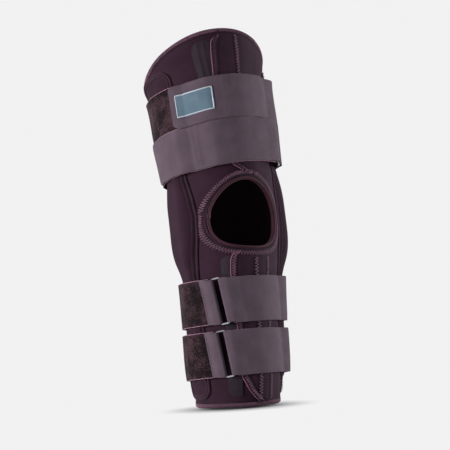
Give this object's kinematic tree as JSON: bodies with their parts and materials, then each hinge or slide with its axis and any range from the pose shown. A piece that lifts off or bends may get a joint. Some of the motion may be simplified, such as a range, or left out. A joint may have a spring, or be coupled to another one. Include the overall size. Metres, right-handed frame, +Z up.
{
  "type": "hinged knee brace",
  "caption": "Wraparound open-patella knee brace with padded sleeve, geared side hinges in pockets, and hook-and-loop straps that fold back through wire rings.",
  "frame": {"origin": "middle of the knee hinge, halfway between the lateral and medial hinges and between their two geared pivots", "axes": "+Z up the leg, -Y to the front of the knee (the patella), -X to the lateral side of the right leg, +X to the medial side"},
  "size_m": [0.1513, 0.1856, 0.4375],
  "materials": {
    "neoprene": "laminated knit, matt",
    "webbing": "smooth brushed strap, matt",
    "loop_pile": "unbroken loop, matt",
    "hook": "hook tape",
    "tape": "stretch binding",
    "stay_alloy": "brushed",
    "hinge_steel": "satin",
    "nickel": "dark polished wire",
    "label": "woven, plain"
  },
  "bodies": {
    "thigh": {"thigh_wrap": "neoprene", "top_binding": "tape", "thigh_flap": "neoprene", "thigh_hook_strip": "hook", "lateral_thigh_stay": "stay_alloy", "medial_thigh_stay": "stay_alloy", "lateral_thigh_pocket": "neoprene", "medial_thigh_pocket": "neoprene", "upper_thigh_strap_band": "loop_pile", "upper_thigh_keeper": "webbing", "lower_thigh_strap_band": "loop_pile", "lower_thigh_keeper": "webbing"},
    "hinge_carrier": {"lateral_hinge_inner_plate": "hinge_steel", "lateral_hinge_outer_plate": "hinge_steel", "medial_hinge_inner_plate": "hinge_steel", "medial_hinge_outer_plate": "hinge_steel", "lateral_upper_rivet": "hinge_steel", "lateral_lower_rivet": "hinge_steel", "medial_upper_rivet": "hinge_steel", "medial_lower_rivet": "hinge_steel", "knee_wrap": "neoprene", "patella_binding": "tape", "lateral_knee_pocket": "neoprene", "medial_knee_pocket": "neoprene"},
    "calf": {"calf_wrap": "neoprene", "bottom_binding": "tape", "calf_flap": "neoprene", "calf_hook_strip": "hook", "lateral_calf_stay": "stay_alloy", "medial_calf_stay": "stay_alloy", "lateral_calf_pocket": "neoprene", "medial_calf_pocket": "neoprene", "upper_calf_strap_band": "loop_pile", "upper_calf_keeper": "webbing", "lower_calf_strap_band": "loop_pile", "lower_calf_keeper": "webbing"},
    "upper_thigh_ring_link": {"upper_thigh_ring": "nickel"},
    "upper_thigh_tail": {"upper_thigh_strap_tail": "webbing", "upper_thigh_hook_tab": "hook", "plain_label": "label"},
    "lower_thigh_ring_link": {"lower_thigh_ring": "nickel", "lower_thigh_strap_front": "webbing"},
    "lower_thigh_tail": {"lower_thigh_strap_tail": "webbing", "lower_thigh_hook_tab": "hook"},
    "upper_calf_ring_link": {"upper_calf_ring": "nickel"},
    "upper_calf_tail": {"upper_calf_strap_tail": "webbing", "upper_calf_hook_tab": "hook"},
    "lower_calf_ring_link": {"lower_calf_ring": "nickel"},
    "lower_calf_tail": {"lower_calf_strap_tail": "webbing", "lower_calf_hook_tab": "hook"}
  },
  "joints": [
    {"name": "upper_gear_pivot", "type": "hinge", "parent": "thigh", "child": "hinge_carrier", "pos_m": [0, 0.00134, 0.01092], "axis": [1, 0, 0], "range_deg": [-7, 36], "deforming": ["knee_wrap", "patella_binding", "lateral_knee_pocket", "medial_knee_pocket"]},
    {"name": "lower_gear_pivot", "type": "hinge", "parent": "hinge_carrier", "child": "calf", "pos_m": [0, -0.00134, -0.01092], "axis": [1, 0, 0], "range_deg": [-7, 36]},
    {"name": "upper_thigh_ring_swing", "type": "hinge", "parent": "thigh", "child": "upper_thigh_ring_link", "pos_m": [0.07187, 0.0229, 0.13395], "axis": [0.0208, 0.2452, 0.9692], "range_deg": [0, 10]},
    {"name": "upper_thigh_tail_peel", "type": "hinge", "parent": "upper_thigh_ring_link", "child": "upper_thigh_tail", "pos_m": [0.0694, 0.01192, 0.13678], "axis": [0.0208, 0.2452, 0.9692], "range_deg": [0, 36]},
    {"name": "lower_thigh_ring_swing", "type": "hinge", "parent": "thigh", "child": "lower_thigh_ring_link", "pos_m": [0.06282, -0.01282, 0.08761], "axis": [0.061, 0.2199, 0.9736], "range_deg": [0, 6]},
    {"name": "lower_thigh_tail_peel", "type": "hinge", "parent": "lower_thigh_ring_link", "child": "lower_thigh_tail", "pos_m": [-0.02384, -0.04865, 0.08979], "axis": [-0.0201, 0.1831, 0.9829], "range_deg": [0, 30]},
    {"name": "upper_calf_ring_swing", "type": "hinge", "parent": "calf", "child": "upper_calf_ring_link", "pos_m": [-0.04123, -0.05022, -0.0907], "axis": [0.1421, -0.0925, -0.9855], "range_deg": [0, 10]},
    {"name": "upper_calf_tail_peel", "type": "hinge", "parent": "upper_calf_ring_link", "child": "upper_calf_tail", "pos_m": [-0.03246, -0.05756, -0.08874], "axis": [0.1421, -0.0925, -0.9855], "range_deg": [0, 55]},
    {"name": "lower_calf_ring_swing", "type": "hinge", "parent": "calf", "child": "lower_calf_ring_link", "pos_m": [-0.03901, -0.04919, -0.14946], "axis": [0.1431, -0.0486, -0.9885], "range_deg": [0, 10]},
    {"name": "lower_calf_tail_peel", "type": "hinge", "parent": "lower_calf_ring_link", "child": "lower_calf_tail", "pos_m": [-0.02992, -0.0562, -0.1478], "axis": [0.1431, -0.0486, -0.9885], "range_deg": [0, 55]}
  ],
  "couplings": [
    {"joint": "lower_gear_pivot", "follows": "upper_gear_pivot", "ratio": 1}
  ]
}
